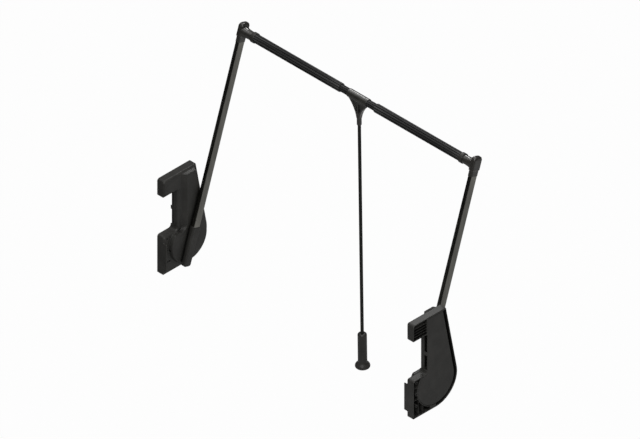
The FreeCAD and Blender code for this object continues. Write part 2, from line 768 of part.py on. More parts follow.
def build_crank_pin():
    """The pin of the crank, which works in the slot of the yoke."""
    body = new_body("left_crank_pin")
    start = D.yoke_back - D.face_gap
    ends = new_sketch(body, "pin_outline", "YZ_Plane", start)
    draw_circle(ends, (ZERO, D.crank_reach), D.pin_radius)
    pad(body, ends, D.crank_back + D.crank_thick - start, "pin")
    drop_crank(body)
    return body


def yoke_level():
    """Height of the yoke's slot at rest."""
    return -D.crank_reach * cosine(D.crank_drop)


def yoke_top():
    """Top of the yoke's bar at rest."""
    return yoke_level() + D.yoke_height / 2


def build_yoke():
    """The slotted yoke that turns the crank's swing into a straight push."""
    body = new_body("left_yoke")
    half = D.yoke_height / 2
    # the pin is nearest the pivot at either end of its swing, and farthest when level
    near = D.crank_reach * sine(D.crank_drop) - D.pin_radius - D.face_gap
    far = D.crank_reach + D.pin_radius + D.face_gap
    outline = new_sketch(body, "yoke_outline", "YZ_Plane", D.yoke_back)
    draw_loop(outline, box_steps((near - D.yoke_margin, yoke_level() - half),
                                 (far + D.yoke_margin, yoke_level() + half)))
    pad(body, outline, D.yoke_thick, "yoke_bar")
    slot_half = D.pin_radius + D.slot_play
    slot = new_sketch(body, "yoke_slot", "YZ_Plane", D.yoke_back)
    draw_loop(slot, box_steps((near, yoke_level() - slot_half), (far, yoke_level() + slot_half)))
    pocket(body, slot, D.yoke_thick, "slot", reverse=True)
    lug = new_sketch(body, "yoke_lug", "YZ_Plane", D.yoke_back)
    lug_top = yoke_top() + D.lug_rise
    draw_loop(lug, box_steps((D.strut_y - D.lug_half, yoke_top()),
                             (D.strut_y + D.lug_half, lug_top)))
    pad(body, lug, D.strut_x + D.rod_radius + D.face_gap - D.yoke_back, "lug")
    seat = new_sketch(body, "rod_seat", "XY_Plane", lug_top)
    draw_circle(seat, (D.strut_x, D.strut_y), D.rod_radius + D.fit_gap)
    pocket(body, seat, D.lug_rise, "rod_seat_hole")
    return body


def build_gas_cylinder():
    """The cylinder of the gas strut, standing on the shelf under the chamber's top."""
    body = new_body("left_gas_cylinder")
    base = D.shelf_level + D.shelf_thick
    axis = (D.strut_x, D.strut_y)
    wall = new_sketch(body, "cylinder_outline", "XY_Plane", base)
    draw_circle(wall, axis, D.cylinder_radius)
    pad(body, wall, D.chamber_top - base, "cylinder")
    guide = new_sketch(body, "guide_hole", "XY_Plane", base)
    draw_circle(guide, axis, D.rod_radius + D.run_gap)
    pocket(body, guide, D.nose_length, "rod_guide", reverse=True)
    space = new_sketch(body, "cylinder_bore", "XY_Plane", base + D.nose_length)
    draw_circle(space, axis, D.cylinder_radius - D.cylinder_wall)
    bore_length = D.chamber_top - base - D.nose_length - D.cylinder_wall
    pocket(body, space, bore_length, "gas_space", reverse=True)
    return body


def build_piston_rod():
    """The rod from the yoke up to the piston in the gas cylinder."""
    body = new_body("left_piston_rod")
    foot = new_sketch(body, "piston_rod_outline", "XY_Plane", yoke_top())
    draw_circle(foot, (D.strut_x, D.strut_y), D.rod_radius)
    piston_foot = D.shelf_level + D.shelf_thick + D.nose_length + D.face_gap
    pad(body, foot, piston_foot + D.piston_length - yoke_top(), "piston_rod")
    piston = new_sketch(body, "piston_outline", "XY_Plane", piston_foot)
    draw_circle(piston, (D.strut_x, D.strut_y), D.cylinder_radius - D.cylinder_wall - D.run_gap)
    pad(body, piston, D.piston_length, "piston")
    return body


# ---------------------------------------------------------------- arm


def build_lever():
    """The moulded lever that holds the foot of the arm tube."""
    body = new_body("left_lever")
    head, foot, bend = D.lever_head / 2, D.lever_foot / 2, D.lever_round
    tail = -D.lever_tail
    outline = new_sketch(body, "lever_outline", "YZ_Plane", lever_back())
    draw_loop(outline, [
        ((-foot + bend, tail), None),
        ((foot - bend, tail), (bend, 1)),
        ((foot, tail + bend), None),
        ((head, D.lever_top), None),
        ((-head, D.lever_top), None),
        ((-foot, tail + bend), (bend, 1)),
    ])
    block = pad(body, outline, D.lever_thick, "lever_block")
    inner = face_at(body.Shape, "X", (lever_back() + D.lever_thick).worth)
    chamfer(body, block, [inner], D.lever_chamfer, "lever_edge")
    socket = new_sketch(body, "lever_socket", "XY_Plane", D.lever_top)
    draw_loop(socket, round_box_steps((D.arm_plane, ZERO), D.arm_thick + D.fit_gap * 2,
                                      D.arm_width + D.fit_gap * 2, D.arm_round))
    pocket(body, socket, D.socket_depth, "arm_socket")
    key = new_sketch(body, "lever_key", "YZ_Plane", lever_back())
    draw_loop(key, hexagon_steps(D.hex_radius + D.fit_gap, ZERO))
    pocket(body, key, D.lever_thick - D.wall, "lever_key_hole", reverse=True)
    lean_back(body)
    return body


def build_arm():
    """The flat oval arm tube."""
    body = new_body("left_arm")
    start = D.lever_top - D.socket_depth
    end = D.arm_reach - D.elbow_drop + D.elbow_socket
    ends = new_sketch(body, "arm_section", "XY_Plane", start)
    centre = (D.arm_plane, ZERO)
    draw_loop(ends, round_box_steps(centre, D.arm_thick, D.arm_width, D.arm_round))
    draw_loop(ends, round_box_steps(centre, D.arm_thick - D.arm_wall * 2,
                                    D.arm_width - D.arm_wall * 2, D.arm_round - D.arm_wall))
    pad(body, ends, end - start, "arm_tube")
    lean_back(body)
    return body


def build_elbow():
    """The cast elbow: a socket for the arm, a head, and a spigot for the rod."""
    body = new_body("left_elbow")
    centre = (D.arm_plane, ZERO)
    foot_level = D.arm_reach - D.elbow_drop
    head_level = D.arm_reach - D.head_drop
    neck = new_sketch(body, "elbow_neck", "XY_Plane", foot_level)
    draw_loop(neck, round_box_steps(centre, D.neck_thick, D.neck_width, D.head_round))
    pad(body, neck, D.elbow_drop, "elbow_neck_block")
    head = new_sketch(body, "elbow_head", "XY_Plane", head_level)
    draw_loop(head, round_box_steps(centre, D.head_thick, D.head_width, D.head_round))
    pad(body, head, D.head_drop + D.head_rise, "elbow_head_block")
    # the spigot has a boss where it leaves the head, and its thin stub goes into the tube
    spigot = new_sketch(body, "elbow_spigot", "XZ_Plane")
    rise = D.arm_reach
    stub = tube_bore() - D.fit_gap
    draw_loop(spigot, [
        ((D.arm_plane, rise), None),
        ((D.spigot_end + D.stub_length, rise), None),
        ((D.spigot_end + D.stub_length, rise + stub), None),
        ((D.spigot_end, rise + stub), None),
        ((D.spigot_end, rise + D.spigot_radius), None),
        ((D.boss_end, rise + D.spigot_radius), None),
        ((D.boss_end, rise + D.spigot_boss), None),
        ((D.arm_plane, rise + D.spigot_boss), None),
    ])
    turned = body.newObject("PartDesign::Revolution", "spigot")
    turned.Profile = spigot
    turned.ReferenceAxis = (spigot, ["Edge1"])
    turned.Angle = 360
    doc.recompute()
    socket = new_sketch(body, "elbow_socket_outline", "XY_Plane", foot_level)
    draw_loop(socket, round_box_steps(centre, D.arm_thick + D.fit_gap * 2,
                                      D.arm_width + D.fit_gap * 2, D.arm_round))
    pocket(body, socket, D.elbow_socket, "elbow_socket", reverse=True)
    lean_back(body)
    return body


def build_elbow_cap():
    """The domed cap that closes the elbow."""
    body = new_body("left_elbow_cap")
    base = new_sketch(body, "elbow_cap_outline", "XY_Plane", D.arm_reach + D.head_rise)
    draw_loop(base, round_box_steps((D.arm_plane, ZERO), D.head_thick - D.cap_lip * 2,
                                    D.head_width - D.cap_lip * 2, D.head_round - D.cap_lip))
    block = pad(body, base, D.cap_rise, "elbow_cap_block")
    top = face_at(body.Shape, "Z", (D.arm_reach + D.head_rise + D.cap_rise).worth)
    chamfer(body, block, [top], D.cap_slope, "elbow_cap_edge")
    lean_back(body)
    return body


# ---------------------------------------------------------------- rod


def rod_place(body):
    """Carry a piece that is drawn about the X axis to the rod axis."""
    behind = D.arm_reach * sine(D.lean)
    above = D.arm_reach * cosine(D.lean)
    body.Placement = Placement(Vector(0, behind.worth, above.worth), Rotation())
    body.setExpression("Placement.Base.y", behind.text)
    body.setExpression("Placement.Base.z", above.text)


def build_fluted_tube(label, start, end, outside, bore, depth):
    """A tube along X with grooves round it."""
    body = new_body(label)
    ring = new_sketch(body, label + "_ring", "YZ_Plane", start)
    draw_circle(ring, (ZERO, ZERO), outside)
    draw_circle(ring, (ZERO, ZERO), bore)
    pad(body, ring, end - start, label + "_tube")
    groove = new_sketch(body, label + "_groove", "YZ_Plane", start)
    offset = outside + D.flute_radius - depth
    half_pitch = HALF_TURN / D.flute_count
    draw_circle(groove, (offset * sine(half_pitch), offset * cosine(half_pitch)), D.flute_radius)
    first = pocket(body, groove, end - start, label + "_flute", reverse=True)
    turn_pattern(body, first, D.flute_count, label + "_flutes", "X_Axis")
    rod_place(body)
    return body


def tube_end():
    """Inner end of the left outer tube."""
    return D.closed_span / 2 - D.tube_gap


def tube_bore():
    """Inside radius of an outer tube, in which the inner tube slides."""
    return D.inner_radius + D.slide_gap


def build_collar():
    """The collar over the tube end at the elbow."""
    body = new_body("left_collar")
    ring = new_sketch(body, "collar_outline", "YZ_Plane", D.spigot_end)
    draw_circle(ring, (ZERO, ZERO), D.collar_radius)
    draw_circle(ring, (ZERO, ZERO), D.tube_radius + D.fit_gap)
    pad(body, ring, D.collar_length, "collar_ring")
    rod_place(body)
    return body


# ---------------------------------------------------------------- handle


def hang(body):
    """Hang a piece that is drawn about the origin from the middle of the rod."""
    behind = D.arm_reach * sine(D.lean)
    above = D.arm_reach * cosine(D.lean)
    middle = D.closed_span / 2
    turn = Rotation(Vector(1, 0, 0), D.hang_tilt.worth)
    body.Placement = Placement(Vector(middle.worth, behind.worth, above.worth), turn)
    body.setExpression("Placement.Base.x", middle.text)
    body.setExpression("Placement.Base.y", behind.text)
    body.setExpression("Placement.Base.z", above.text)
    body.setExpression("Placement.Rotation.Angle", D.hang_tilt.text)


def web_steps(inset, top, foot):
    """The outline of the web, or of a smaller one inside it."""
    half, tip = D.sleeve_half - inset, D.web_tip - inset
    return [
        ((-half, top), (D.web_curve, -1)),
        ((-tip, foot), None),
        ((tip, foot), (D.web_curve, -1)),
        ((half, top), None),
    ]


def build_bracket():
    """The cast bracket: a sleeve on the rod, a recessed web and a socket below it."""
    body = new_body("handle_bracket")
    sleeve = new_sketch(body, "sleeve_outline", "YZ_Plane", -D.sleeve_half)
    draw_circle(sleeve, (ZERO, ZERO), D.sleeve_radius)
    pad(body, sleeve, D.sleeve_half * 2, "sleeve")
    top = -(D.inner_radius + D.sleeve_radius) / 2
    web = new_sketch(body, "web_outline", "XZ_Plane", -D.web_thick / 2)
    draw_loop(web, web_steps(ZERO, top, -D.web_drop))
    pad(body, web, D.web_thick, "web")
    socket = new_sketch(body, "socket_outline", "XY_Plane", -D.bracket_drop)
    draw_circle(socket, (ZERO, ZERO), D.socket_radius)
    pad(body, socket, D.bracket_drop - D.socket_top, "socket")
    # two tapering recesses on each side leave a middle rib and thick edges
    depth = (D.web_thick - D.web_skin) / 2
    recess_top, recess_foot = -D.recess_top, -D.recess_foot
    recess = new_sketch(body, "recess_outline", "XZ_Plane", D.web_thick / 2)
    for side in (-1, 1):
        outer_top = (D.web_rib / 2 + D.recess_width) * side
        inner = D.web_rib / 2 * side
        corners = [(inner, recess_top), (outer_top, recess_top), (inner, recess_foot)]
        draw_loop(recess, [(corner, None) for corner in corners])
    front = pocket(body, recess, depth, "recesses")
    mirror_plane = plane_of(body, "XZ_Plane")
    back = body.newObject("PartDesign::Mirrored", "back_recesses")
    back.Originals = [front]
    back.MirrorPlane = (mirror_plane, [""])
    body.Tip = back
    doc.recompute()
    bore = new_sketch(body, "sleeve_bore", "YZ_Plane", -D.sleeve_half)
    draw_circle(bore, (ZERO, ZERO), D.inner_radius + D.slide_gap)
    pocket(body, bore, D.sleeve_half * 2, "bore", reverse=True)
    hole = new_sketch(body, "rod_socket", "XY_Plane", -D.bracket_drop)
    draw_circle(hole, (ZERO, ZERO), D.pull_radius + D.fit_gap)
    pocket(body, hole, D.pull_socket, "rod_socket_hole", reverse=True)
    hang(body)
    return body


def build_pull_rod():
    """The long rod from the bracket to the grip."""
    body = new_body("pull_rod")
    top = -D.bracket_drop + D.pull_socket
    section = new_sketch(body, "pull_rod_section", "XY_Plane", top)
    draw_circle(section, (ZERO, ZERO), D.pull_radius)
    pad(body, section, D.grip_top + D.grip_bore + top, "pull_rod_bar", reverse=True)
    hang(body)
    return body


def build_grip():
    """The grip: sloping shoulder, flange and fine grooves."""
    body = new_body("grip")
    top, foot = -D.grip_top, -D.grip_foot
    profile = new_sketch(body, "grip_profile", "XZ_Plane")
    shoulder = D.grip_shoulder
    draw_loop(profile, [
        ((ZERO, foot), None),
        ((D.grip_flange, foot), None),
        ((D.grip_flange, foot + D.flange_edge), None),
        ((D.grip_radius, foot + D.flange_thick), None),
        ((D.grip_radius, top - shoulder), None),
        ((D.grip_radius - shoulder * D.shoulder_slope, top), None),
        ((ZERO, top), None),
    ])
    revolve(body, profile, "grip_form", "Z_Axis")
    groove = new_sketch(body, "grip_groove", "XY_Plane", top - shoulder)
    offset = D.grip_radius + D.flute_radius - D.grip_flute_depth
    draw_circle(groove, (offset, ZERO), D.flute_radius)
    groove_length = D.grip_foot - D.grip_top - D.flange_thick - shoulder
    first = pocket(body, groove, groove_length, "grip_flute")
    turn_pattern(body, first, D.flute_count, "grip_flutes", "Z_Axis")
    bore = new_sketch(body, "grip_bore_outline", "XY_Plane", top)
    draw_circle(bore, (ZERO, ZERO), D.pull_radius + D.fit_gap)
    pocket(body, bore, D.grip_bore, "grip_hole")
    hang(body)
    return body


# ---------------------------------------------------------------- assembly

left_pieces = [
    build_housing(),
    build_back_plate(),
    build_spindle_bush(),
    build_spindle(),
    build_crank(),
    build_crank_pin(),
    build_yoke(),
    build_gas_cylinder(),
    build_piston_rod(),
    build_lever(),
    build_arm(),
    build_elbow(),
    build_elbow_cap(),
    build_collar(),
    build_fluted_tube("left_outer_tube", D.spigot_end, tube_end(), D.tube_radius,
                      tube_bore(), D.flute_depth),
]
middle_pieces = [
    build_fluted_tube("inner_tube", D.closed_span / 2 - D.inner_half,
                      D.closed_span / 2 + D.inner_half, D.inner_radius,
                      D.inner_bore, D.fine_flute_depth),
    build_bracket(),
    build_pull_rod(),
    build_grip(),
]


def mirror_piece(piece):
    """The right-hand twin of a left-hand piece."""
    label = piece.Label.replace("left_", "right_", 1)
    twin = doc.addObject("Part::Mirroring", label)
    twin.Label = label
    twin.Source = piece
    twin.Normal = Vector(1, 0, 0)
    twin.Base = Vector(D.closed_span.worth / 2, 0, 0)
    twin.setExpression("Base.x", (D.closed_span / 2).text)
    return twin


right_pieces = [mirror_piece(piece) for piece in left_pieces]
doc.recompute()

# ---------------------------------------------------------------- checks and files

for item in doc.Objects:
    if "Invalid" in item.State or "Error" in item.State:
        raise RuntimeError("%s did not build: %s" % (item.Label, item.State))
pieces = left_pieces + middle_pieces + right_pieces
for piece in pieces:
    if piece.Shape.isNull() or not piece.Shape.isValid():
        raise RuntimeError("%s has no valid shape" % piece.Label)
    if len(piece.Shape.Solids) != 1:
        raise RuntimeError("%s is not one solid" % piece.Label)

os.makedirs("parts", exist_ok=True)
for piece in pieces:
    piece.Shape.exportStep("parts/%s.step" % piece.Label)
    print("%-22s %10.1f mm3" % (piece.Label, piece.Shape.Volume))
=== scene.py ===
"""Pull down closet rod: the looks of its housings, arms, telescopic rod and pull handle.

Lengths are in metres, +X runs along the rod, +Y to the back of the closet and +Z up.
"""

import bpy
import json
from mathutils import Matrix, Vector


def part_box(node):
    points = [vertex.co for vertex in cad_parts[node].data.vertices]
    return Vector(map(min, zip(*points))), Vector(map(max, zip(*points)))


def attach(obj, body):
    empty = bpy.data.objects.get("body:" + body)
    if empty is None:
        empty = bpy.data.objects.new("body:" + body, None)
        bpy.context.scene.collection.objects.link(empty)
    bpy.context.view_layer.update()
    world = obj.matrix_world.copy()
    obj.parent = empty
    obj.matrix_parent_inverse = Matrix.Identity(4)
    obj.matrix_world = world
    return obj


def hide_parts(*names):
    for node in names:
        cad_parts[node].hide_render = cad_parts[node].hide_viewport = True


bl_info = {
    "name": "Pull Down Closet Rod",
    "version": (1, 0, 0),
    "blender": (4, 5, 0),
    "location": "View3D > Sidebar > Closet Rod",
    "description": "Dresses a pull down closet rod in moulded plastic, bronze paint "
                   "and black tube",
    "category": "Object",
}

import json
import math

import bmesh
import bpy
from bpy.props import FloatProperty, FloatVectorProperty, IntProperty, PointerProperty
from mathutils import Matrix, Vector

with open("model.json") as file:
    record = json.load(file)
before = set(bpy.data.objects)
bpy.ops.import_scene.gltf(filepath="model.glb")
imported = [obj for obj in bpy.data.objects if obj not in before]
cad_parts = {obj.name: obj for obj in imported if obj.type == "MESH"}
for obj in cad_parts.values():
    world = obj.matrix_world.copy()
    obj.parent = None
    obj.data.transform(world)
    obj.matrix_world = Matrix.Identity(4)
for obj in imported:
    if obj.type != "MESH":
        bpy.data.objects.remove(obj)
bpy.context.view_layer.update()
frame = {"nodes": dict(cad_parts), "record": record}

MM = 0.001
SIDES = ("left", "right")
WELD = 0.002 * MM  # points of a solid closer than this are one
CRISP = 40  # degrees over which an edge stays crisp
ALL_SOFT = 180  # degrees at which no edge stays crisp
SMALL_PIECE = 0.7  # the grid of a small moulded piece as a share of the housings'
# painted shade: the base colour goes dark in holes, gaps and inner corners found by ambient
# occlusion
RECESS = 11 * MM  # how far a hollow looks for the walls that darken it
RECESS_SHADE_COVER = 0.9
RECESS_SHADE = 0.12


def centre(node):
    """Middle of a node's box."""
    low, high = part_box(node)
    return (Vector(low) + Vector(high)) / 2


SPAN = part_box("right_housing")[1][0]
ROD = centre("inner_tube")
REACH = math.hypot(ROD.y, ROD.z)
LEAN = math.atan2(ROD.y, ROD.z)
HANG = centre("grip") - ROD
ARM_PLANE = centre("left_arm").x


# ---------------------------------------------------------------- settings


class ClosetRodSizes(bpy.types.PropertyGroup):
    """Sizes of the finished forms."""

    flutes: IntProperty(name="Flutes", description="Grooves round a tube", default=12, min=6)
    flute_depth: FloatProperty(
        name="Flute Depth", description="Depth of a groove in a tube",
        default=0.9 * MM, unit="LENGTH", precision=5)
    mould_grid: FloatProperty(
        name="Moulded Grid", description="Fineness of the moulded pieces' skin",
        default=0.85 * MM, unit="LENGTH", precision=5)
    mould_softness: IntProperty(
        name="Moulded Softness", description="How far the moulded corners are smoothed",
        default=7, min=0)
    cast_grid: FloatProperty(
        name="Cast Grid", description="Fineness of the cast pieces' skin",
        default=0.6 * MM, unit="LENGTH", precision=5)
    cast_softness: IntProperty(
        name="Cast Softness", description="How far the cast corners are smoothed",
        default=6, min=0)


class ClosetRodColours(bpy.types.PropertyGroup):
    """Colours of the finishes."""

    housing: FloatVectorProperty(
        name="Housing", description="Moulded plastic of the housings",
        default=(0.0300, 0.0292, 0.0270), subtype="COLOR", min=0, max=1)
    lever: FloatVectorProperty(
        name="Lever", description="Moulded plastic of the levers and collars",
        default=(0.0290, 0.0282, 0.0260), subtype="COLOR", min=0, max=1)
    arm: FloatVectorProperty(
        name="Arm", description="Bronze paint of the arms",
        default=(0.188, 0.184, 0.167), subtype="COLOR", min=0, max=1)
    cast: FloatVectorProperty(
        name="Casting", description="Bronze enamel of the elbows and the bracket",
        default=(0.036, 0.0347, 0.0313), subtype="COLOR", min=0, max=1)
    tube: FloatVectorProperty(
        name="Tube", description="Black anodising of the tubes",
        default=(0.034, 0.034, 0.034), subtype="COLOR", min=0, max=1)
    pull_rod: FloatVectorProperty(
        name="Pull Rod", description="Powder coat of the pull rod",
        default=(0.013, 0.0135, 0.012), subtype="COLOR", min=0, max=1)
    grip: FloatVectorProperty(
        name="Grip", description="Moulded plastic of the grip",
        default=(0.0280, 0.0272, 0.0250), subtype="COLOR", min=0, max=1)
    steel: FloatVectorProperty(
        name="Steel", description="Zinc plate of the crank gear",
        default=(0.42, 0.42, 0.40), subtype="COLOR", min=0, max=1)


# ---------------------------------------------------------------- shader maths


class Field:
    """A number that varies over a surface, for use in sums."""

    def __init__(self, nodes, socket):
        self.nodes = nodes
        self.socket = socket

    def join(self, operation, *terms, clamp=False):
        """A Math node on these terms."""
        node = self.nodes.node("ShaderNodeMath", {"operation": operation, "use_clamp": clamp},
                               dict(enumerate(terms)))
        return Field(self.nodes, node.outputs[0])

    def __add__(self, other):
        return self.join("ADD", self, other)

    def __radd__(self, other):
        return self.join("ADD", other, self)

    def __sub__(self, other):
        return self.join("SUBTRACT", self, other)

    def __rsub__(self, other):
        return self.join("SUBTRACT", other, self)

    def __mul__(self, other):
        return self.join("MULTIPLY", self, other)

    def __rmul__(self, other):
        return self.join("MULTIPLY", other, self)

    def clamped(self):
        """The same number, held between 0 and 1."""
        return self.join("ADD", self, 0.0, clamp=True)

    def step(self, low, high):
        """0 below low, 1 above high, and a smooth rise between."""
        node = self.nodes.node(
            "ShaderNodeMapRange", {"interpolation_type": "SMOOTHSTEP"},
            {"Value": self, "From Min": low, "From Max": high})
        return Field(self.nodes, node.outputs["Result"])


class Nodes:
    """The nodes of a material or a world."""

    def __init__(self, tree):
        self.tree = tree

    def node(self, kind, settings=None, values=None):
        """A node of this kind, with its settings first and then its sockets."""
        node = self.tree.nodes.new(kind)
        for name, setting in (settings or {}).items():
            setattr(node, name, setting)
        for name, value in (values or {}).items():
            self.feed(node.inputs[name], value)
        return node

    def feed(self, socket, value):
        """Link a field or a socket, or set a plain value."""
        if isinstance(value, Field):
            value = value.socket
        if isinstance(value, bpy.types.NodeSocket):
            self.tree.links.new(value, socket)
        else:
            socket.default_value = value


class Finish(Nodes):
    """A node material in the making."""

    def __init__(self, name, colour, roughness, metallic=0.0, coat=0.0):
        self.material = bpy.data.materials.new(name)
        self.material.use_nodes = True
        super().__init__(self.material.node_tree)
        self.shader = self.tree.nodes["Principled BSDF"]
        self.colour = (*colour, 1.0)
        self.roughness = roughness
        self.place = self.node("ShaderNodeTexCoord").outputs["Object"]
        self.set("Base Color", self.colour)
        self.set("Roughness", roughness)
        self.set("Metallic", metallic)
        self.set("Coat Weight", coat)

    def set(self, name, value):
        """Feed one socket of the surface shader."""
        self.feed(self.shader.inputs[name], value)

    def scaled(self, stretch):
        """The place on the piece, in metres, stretched along each axis."""
        node = self.node("ShaderNodeVectorMath", {"operation": "MULTIPLY"},
                         {0: self.place, 1: stretch})
        return node.outputs[0]

    def noise(self, scale, detail=2.0, stretch=(1, 1, 1), roughness=0.5):
        """Soft noise from 0 to 1; scale is in features to a metre."""
        node = self.node("ShaderNodeTexNoise", {"noise_dimensions": "3D"}, {
            "Vector": self.scaled(stretch), "Scale": scale, "Detail": detail,
            "Roughness": roughness})
        return Field(self, node.outputs["Fac"])

    def blend(self, factor, first, second):
        """A colour between two colours."""
        node = self.node("ShaderNodeMix", {"data_type": "RGBA"}, {
            0: factor, 6: first, 7: second})
        return node.outputs[2]

    def shade(self, share):
        """The base colour times a share."""
        return tuple(part * share for part in self.colour[:3]) + (1.0,)

    def vary(self, mask, low, high):
        """The base colour, from a low share of it to a high one with the mask."""
        return self.blend(mask, self.shade(low), self.shade(high))

    def tint(self, mask, tone, share):
        """A tone that turns into a share of the base colour under the mask."""
        return self.blend(mask, tone, self.shade(share))

    def painted_recess_shade(self, tone):
        """A tone with painted shade: it goes dark in holes, gaps and inner corners."""
        return self.tint(self.recess_shade_mask(RECESS) * RECESS_SHADE_COVER, tone, RECESS_SHADE)

    def edges(self):
        """1 on sharp outer edges, 0 on flat faces, holes and inner corners."""
        node = self.node("ShaderNodeNewGeometry")
        return Field(self, node.outputs["Pointiness"]).step(0.505, 0.56)

    def groove_shade_mask(self, count):
        """Mask of painted shade: 1 at the bottom of each groove round the rod, 0 between them."""
        parts = self.node("ShaderNodeSeparateXYZ", None, {0: self.place})
        behind = Field(self, parts.outputs["Y"]) - ROD.y
        below = ROD.z - Field(self, parts.outputs["Z"])
        turn = behind.join("ARCTAN2", behind, below)
        return turn.join("COSINE", turn * count).step(0.1, 0.8)

    def recess_shade_mask(self, reach):
        """Mask of painted shade: 1 deep in holes and inner corners, 0 on open faces; reach is how
        far it looks.
        """
        node = self.node("ShaderNodeAmbientOcclusion", {"samples": 8}, {"Distance": reach})
        return 1.0 - Field(self, node.outputs["AO"]).step(0.60, 0.95)

    def bump(self, height, depth, strength=1.0):
        """Raise the surface by a height field of this depth in metres."""
        node = self.node("ShaderNodeBump", None, {
            "Height": height, "Distance": depth, "Strength": strength})
        self.set("Normal", node.outputs["Normal"])


# ---------------------------------------------------------------- finishes


def moulded_plastic(name, colour, roughness, grain):
    """Black moulded plastic with a fine spark grain, rubbed edges with a painted sheen, and
    painted shade in holes and inner corners.
    """
    finish = Finish(name, colour, roughness)
    finish.set("Specular IOR Level", 0.25)
    cloud = finish.noise(28, 3)
    fine = finish.noise(1500, 2, roughness=0.6)
    edge_wear_and_sheen = finish.edges()
    tone = finish.vary(cloud.step(0.35, 0.7), 0.86, 1.16)
    # edges lighter: partly rubbed wear, partly a painted sheen
    tone = finish.tint(edge_wear_and_sheen * 0.45, tone, 1.6)
    # painted shade darkens holes, gaps and inner corners
    finish.set("Base Color", finish.painted_recess_shade(tone))
    finish.set("Roughness", roughness + (cloud - 0.5) * 0.10 + (fine - 0.5) * 0.06 - edge_wear_and_sheen * 0.08)
    finish.bump(fine, grain, 0.5)
    return finish.material


def arm_paint(colour):
    """Satin bronze paint with a metal fleck, faint drawing marks, and edges lightened partly for
    wear and partly as a painted highlight.
    """
    finish = Finish("arm_bronze_paint", colour, 0.20, metallic=1.0)
    fleck = finish.noise(2600, 1)
    cloud = finish.noise(60, 3, stretch=(1, 1, 0.25))
    marks = finish.noise(900, 2, stretch=(1, 1, 0.02))
    edge_wear_and_sheen = finish.edges()
    tone = finish.vary(cloud.step(0.3, 0.72), 0.86, 1.15)
    tone = finish.tint(fleck.step(0.58, 0.75) * 0.5, tone, 1.5)
    # edges lighter: partly wear, partly a painted highlight
    finish.set("Base Color", finish.tint(edge_wear_and_sheen * 0.4, tone, 2.2))
    finish.set("Roughness", finish.roughness + (cloud - 0.5) * 0.12 + (marks - 0.5) * 0.08)
    finish.bump(marks + fleck * 0.4, 0.02 * MM, 0.5)
    return finish.material


def cast_enamel(colour):
    """Glossy bronze enamel over a casting, with a slight orange peel, edges lightened partly for
    wear and partly as a painted sheen, and painted shade in holes and inner corners.
    """
    finish = Finish("cast_bronze_enamel", colour, 0.26, metallic=0.25, coat=0.5)
    peel = finish.noise(420, 2)
    fleck = finish.noise(2400, 1)
    cloud = finish.noise(70, 3)
    edge_wear_and_sheen = finish.edges()
    tone = finish.vary(cloud.step(0.3, 0.7), 0.84, 1.16)
    tone = finish.tint(fleck.step(0.6, 0.78) * 0.4, tone, 1.4)
    # edges lighter: partly wear, partly a painted sheen
    tone = finish.tint(edge_wear_and_sheen * 0.35, tone, 1.9)
    # painted shade darkens holes, gaps and inner corners
    finish.set("Base Color", finish.painted_recess_shade(tone))
    finish.set("Roughness", finish.roughness + (peel - 0.5) * 0.10)
    finish.bump(peel, 0.03 * MM, 0.3)
    return finish.material


def anodised_tube(colour, flutes):
    """Black anodised extrusion with die lines along it, painted shade in each groove and a
    painted highlight on its crests.
    """
    finish = Finish("black_anodised_tube", colour, 0.30)
    finish.set("Specular IOR Level", 0.10)
    lines = finish.noise(1600, 2, stretch=(0.01, 1, 1))
    streaks = finish.noise(300, 1, stretch=(0.008, 1, 1)).step(0.42, 0.6)
    cloud = finish.noise(40, 3, stretch=(0.3, 1, 1))
    edge_wear_and_sheen = finish.edges()
    tone = finish.vary(lines.step(0.35, 0.75), 0.8, 1.4)
    tone = finish.tint(streaks * 0.8, tone, 0.25)
    # crests much lighter: mostly a painted highlight, partly wear
    tone = finish.tint(edge_wear_and_sheen * 0.4, tone, 3.0)
    # painted shade: each groove bottom goes nearly black
    finish.set("Base Color", finish.tint(finish.groove_shade_mask(flutes) * 0.95, tone, 0.05))
    finish.set("Roughness", finish.roughness + (lines - 0.5) * 0.16 + (cloud - 0.5) * 0.10
               + streaks * 0.16)
    finish.bump(lines, 0.015 * MM, 0.5)
    return finish.material


def powder_coat(colour):
    """Black powder coat with its fine texture."""
    finish = Finish("black_powder_coat", colour, 0.40)
    finish.set("Specular IOR Level", 0.12)
    pebble = finish.noise(1100, 2)
    cloud = finish.noise(30, 2)
    finish.set("Base Color", finish.vary(cloud.step(0.3, 0.7), 0.85, 1.2))
    finish.set("Roughness", finish.roughness + (pebble - 0.5) * 0.14)
    finish.bump(pebble, 0.03 * MM, 0.5)
    return finish.material


def zinc_steel(colour):
    """Zinc plated steel with a cloudy bloom and light scratches."""
    finish = Finish("zinc_plated_steel", colour, 0.34, metallic=1.0)
    bloom = finish.noise(110, 4)
    scratch = finish.noise(1500, 2, stretch=(1, 0.05, 1))
    finish.set("Base Color", finish.vary(bloom, 0.8, 1.15))
    finish.set("Roughness", finish.roughness + (bloom - 0.5) * 0.2 + (scratch - 0.5) * 0.1)
    finish.bump(scratch, 0.01 * MM, 0.4)
    return finish.material


def make_finishes(colours, flutes):
    """All finishes by the record's material slot."""
    return {
        "housing_plastic": moulded_plastic("moulded_housing", colours.housing, 0.40, 0.03 * MM),
        "lever_plastic": moulded_plastic("moulded_lever", colours.lever, 0.36, 0.02 * MM),
        "bush_plastic": moulded_plastic("acetal_bush", colours.lever, 0.30, 0.01 * MM),
        "grip_plastic": moulded_plastic("moulded_grip", colours.grip, 0.38, 0.02 * MM),
        "arm_bronze": arm_paint(colours.arm),
        "cast_bronze": cast_enamel(colours.cast),
        "tube_black": anodised_tube(colours.tube, flutes),
        "pull_rod_black": powder_coat(colours.pull_rod),
        "gear_steel": zinc_steel(colours.steel),
        "cylinder_steel": powder_coat(colours.pull_rod),
    }


